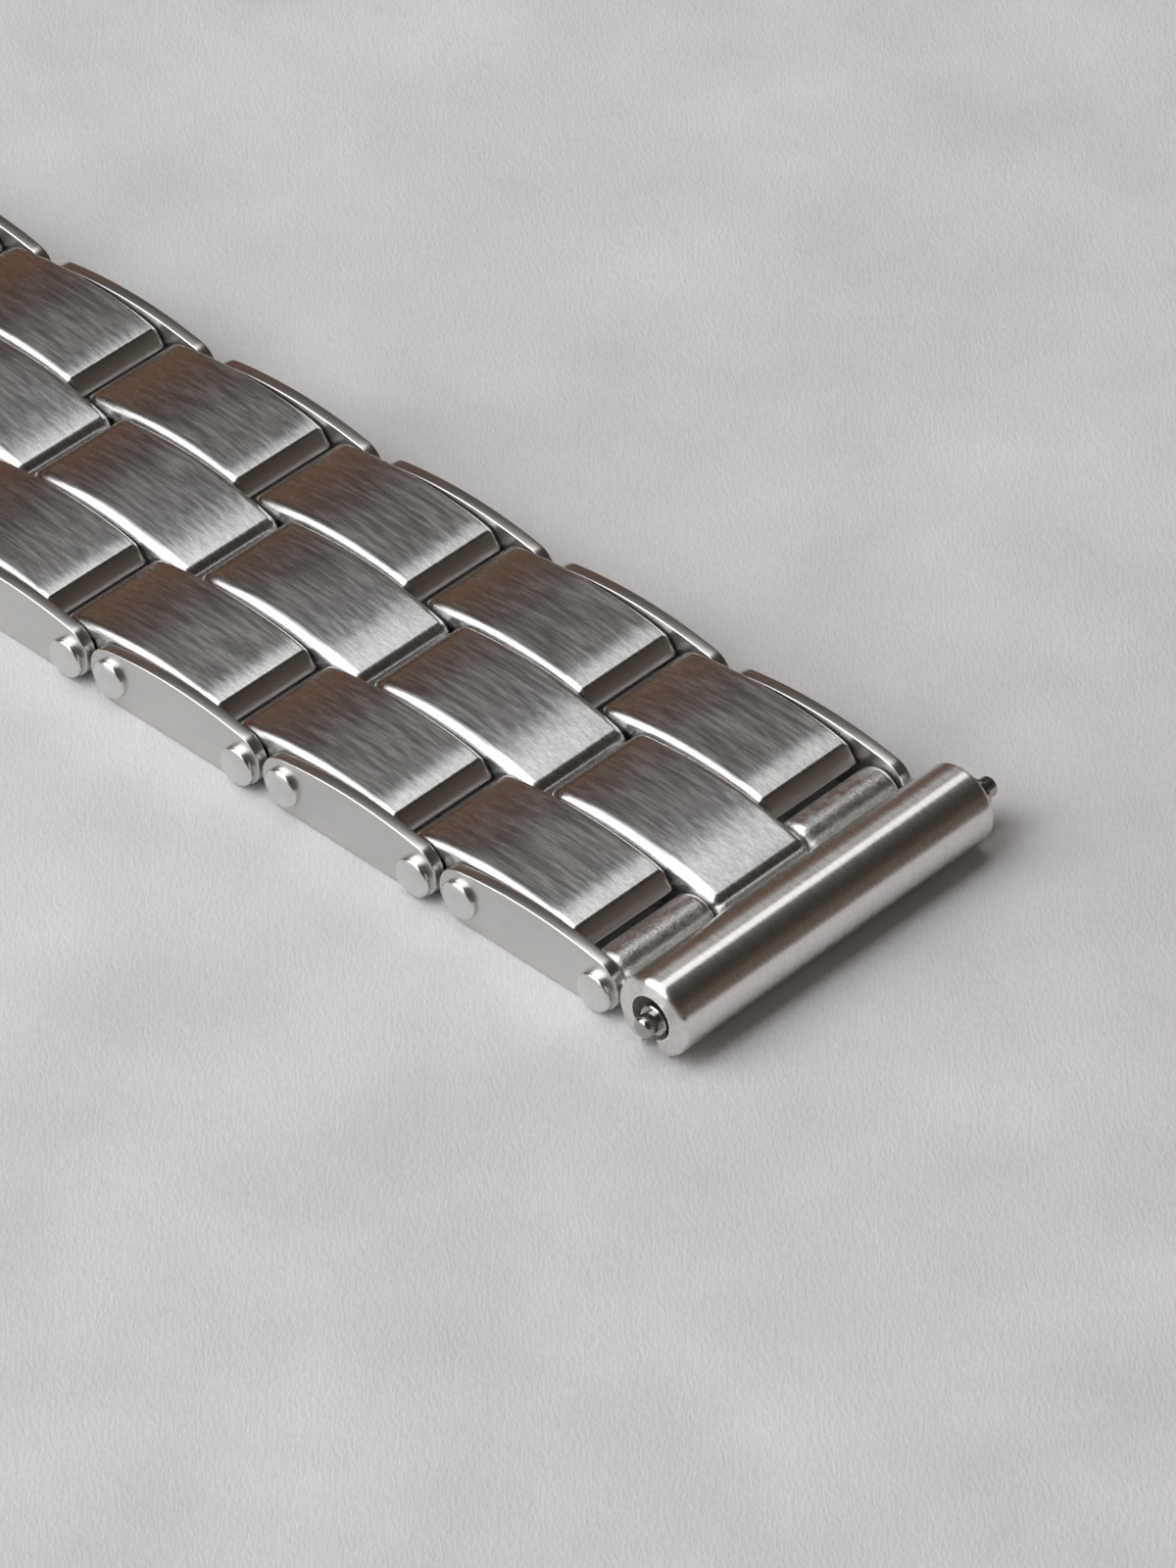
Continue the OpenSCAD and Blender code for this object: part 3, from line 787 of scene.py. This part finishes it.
def direction(azimuth, elevation):
    """Unit vector towards an azimuth and elevation given in radians."""
    return Vector((
        math.cos(elevation) * math.cos(azimuth),
        math.cos(elevation) * math.sin(azimuth),
        math.sin(elevation)))


def make_camera():
    """Camera of the photograph."""
    azimuth, elevation, roll = (math.radians(a) for a in CAMERA_ANGLES)
    away = direction(azimuth, elevation)
    right = (-away).cross(Vector((0, 0, 1))).normalized()
    up = right.cross(-away)
    across_view = right * math.cos(roll) + up * math.sin(roll)
    up_view = up * math.cos(roll) - right * math.sin(roll)
    camera = bpy.data.cameras.new("camera")
    camera.sensor_width = SENSOR
    camera.lens = CAMERA_LENS
    camera.clip_start = 0.01
    holder = bpy.data.objects.new("camera", camera)
    bpy.context.scene.collection.objects.link(holder)
    turned = Matrix((across_view, up_view, away)).transposed().to_4x4()
    spot = place(*CAMERA_TARGET) + away * CAMERA_DISTANCE * MM
    holder.matrix_world = Matrix.Translation(spot) @ turned
    bpy.context.scene.camera = holder


def make_light(name, azimuth, elevation, distance, size, radiance):
    """Rectangular soft box that faces the strap, as bright as radiance all over.

    Angles are in degrees, distance and size in metres.
    """
    away = direction(math.radians(azimuth), math.radians(elevation))
    lamp = bpy.data.lights.new(name, "AREA")
    lamp.shape = "RECTANGLE"
    lamp.size, lamp.size_y = size
    lamp.energy = radiance * math.pi * size[0] * size[1]
    holder = bpy.data.objects.new(name, lamp)
    bpy.context.scene.collection.objects.link(holder)
    sideways = (Vector((1, 0, 0)) - away * away.x).normalized()
    turned = Matrix((sideways, away.cross(sideways), away)).transposed().to_4x4()
    # The boxes stand round a point on the strap 8 mm from the tube
    holder.matrix_world = Matrix.Translation(place(x=-8) + away * distance) @ turned


def make_world():
    """A dim brown room, darker above, which the metal reflects between the lights."""
    world = bpy.data.worlds.new("room")
    bpy.context.scene.world = world
    world.use_nodes = True
    nodes = world.node_tree.nodes
    nodes.clear()
    where = add(nodes, "ShaderNodeTexCoord")
    split = add(nodes, "ShaderNodeSeparateXYZ", None, {"Vector": where.outputs["Generated"]})
    # The walls past the strap's far end and past the watch: low part, warm band, dark above
    walls = []
    for low, high in (("#453C34", "#8E6249"), ("#5A4E44", "#64564B")):
        ramp = add(nodes, "ShaderNodeValToRGB", None, {"Fac": split.outputs["Z"]})
        points = ramp.color_ramp.elements
        points[0].position = 0.0
        points[0].color = rgb("#564B41")
        points[1].position = 1.0
        points[1].color = rgb("#555250")
        bands = ((0.3, low), (0.36, high), (0.44, high), (0.47, "#35312D"), (0.8, "#3B3835"))
        for position, colour in bands:
            point = points.new(position)
            point.color = rgb(colour)
        walls.append(ramp)
    side = add(nodes, "ShaderNodeMapRange", {"From Min": -0.3, "From Max": 0.1},
               {"Value": split.outputs["X"]})
    both = add(nodes, "ShaderNodeMix", {"data_type": "RGBA"}, {
        0: side.outputs["Result"], 6: walls[0].outputs["Color"], 7: walls[1].outputs["Color"]})
    room = add(nodes, "ShaderNodeBackground", {"Strength": 1.0}, {"Color": both.outputs[2]})
    add(nodes, "ShaderNodeOutputWorld", None, {"Surface": room.outputs["Background"]})


make_table()
make_world()
# The window gives the main light and the shadow. The others are the pale patches that the tops
# of the links and the tube reflect. Azimuth, elevation, distance, size and radiance of each:
make_light("window", -118, 38, 0.8, (0.74, 1.12), 2.8)
make_light("ceiling", 160, 68, 0.5, (0.32, 0.26), 0.5)
make_light("ceiling lamp", 130, 77, 0.5, (0.16, 0.32), 1.7)
make_light("shelf lamp", 106, 56, 0.5, (0.10, 0.10), 0.5)
make_camera()
bpy.context.scene.view_settings.view_transform = "Standard"
